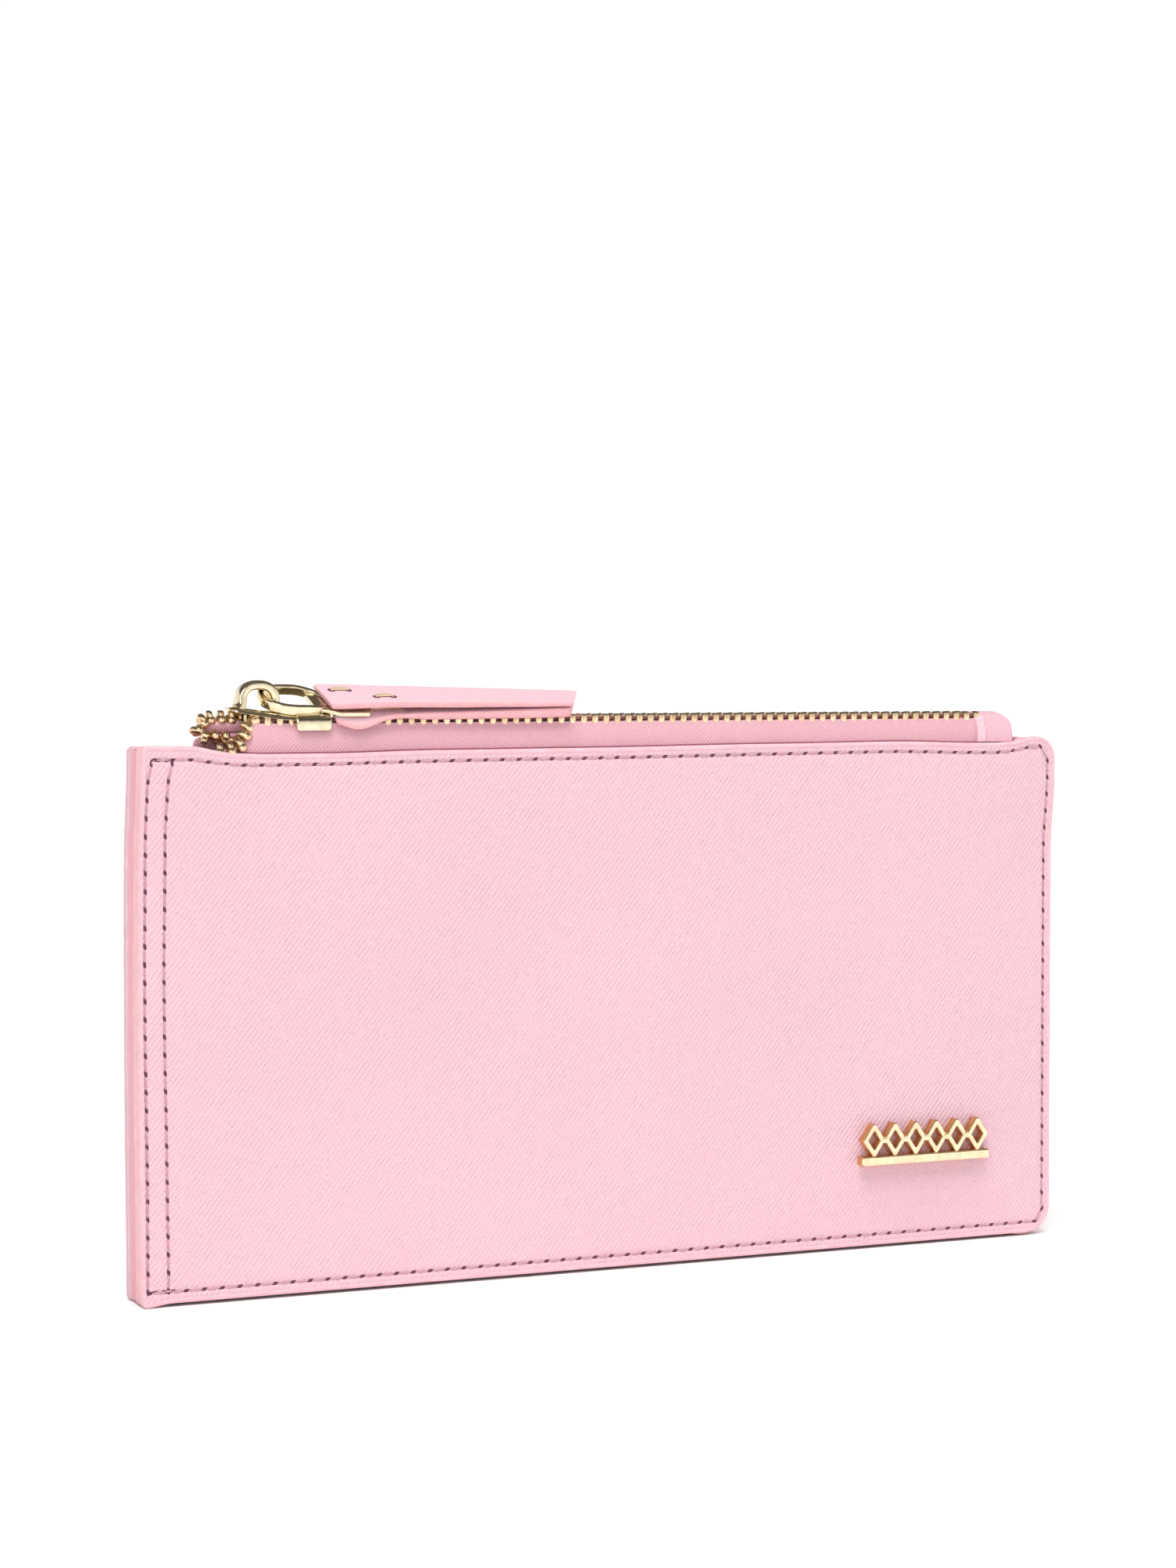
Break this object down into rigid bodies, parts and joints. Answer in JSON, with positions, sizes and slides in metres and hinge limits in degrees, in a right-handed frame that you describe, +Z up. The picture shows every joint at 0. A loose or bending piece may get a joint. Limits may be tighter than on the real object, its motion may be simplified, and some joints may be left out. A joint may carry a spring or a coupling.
{
  "type": "zip wallet",
  "caption": "Long flat leather zip wallet that stands on its edge, with a raised metal zip along the top, a ring-and-strap zip pull and a small gilt badge.",
  "frame": {"origin": "centre of the flat base, midway between the two leather panels", "axes": "+X along the length to the end away from the closed slider, +Y to the back, +Z up"},
  "size_m": [0.2, 0.0134, 0.1182],
  "materials": {
    "saffiano_leather": "fine cross-hatched grain, satin",
    "painted_edge": "smooth edge paint",
    "stiffening_board": "matt fibre board",
    "lining_cloth": "fine twill",
    "zip_tape": "diagonal twill",
    "zip_brass": "light antique gold",
    "gold_hardware": "polished light gold",
    "gilt_badge": "polished yellow gold",
    "steel_washer": "plain"
  },
  "bodies": {
    "pouch": {"front_panel": "saffiano_leather", "back_panel": "saffiano_leather", "front_board": "stiffening_board", "back_board": "stiffening_board", "front_lining": "lining_cloth", "back_lining": "lining_cloth", "slip_pocket": "lining_cloth", "gusset_left": "painted_edge", "gusset_right": "painted_edge", "gusset_bottom": "painted_edge", "zip_tape_front": "zip_tape", "zip_tape_back": "zip_tape", "zip_teeth_front": "zip_brass", "zip_teeth_back": "zip_brass", "zip_stop": "zip_brass", "zip_end_tab": "saffiano_leather", "badge": "gilt_badge", "badge_washer": "steel_washer"},
    "slider": {"slider_body": "gold_hardware", "slider_crown": "gold_hardware"},
    "pull": {"pull_link": "gold_hardware", "pull_strap_upper": "saffiano_leather", "pull_strap_lower": "saffiano_leather", "pull_staple_inner": "gold_hardware", "pull_staple_outer": "gold_hardware"}
  },
  "joints": [
    {"name": "slider_travel", "type": "slide", "parent": "pouch", "child": "slider", "axis": [1, 0, 0], "range_m": [0, 0.14]},
    {"name": "pull_swing", "type": "hinge", "parent": "slider", "child": "pull", "pos_m": [-0.0743, 0, 0.1147], "axis": [0, -1, 0], "range_deg": [0, 170]}
  ]
}
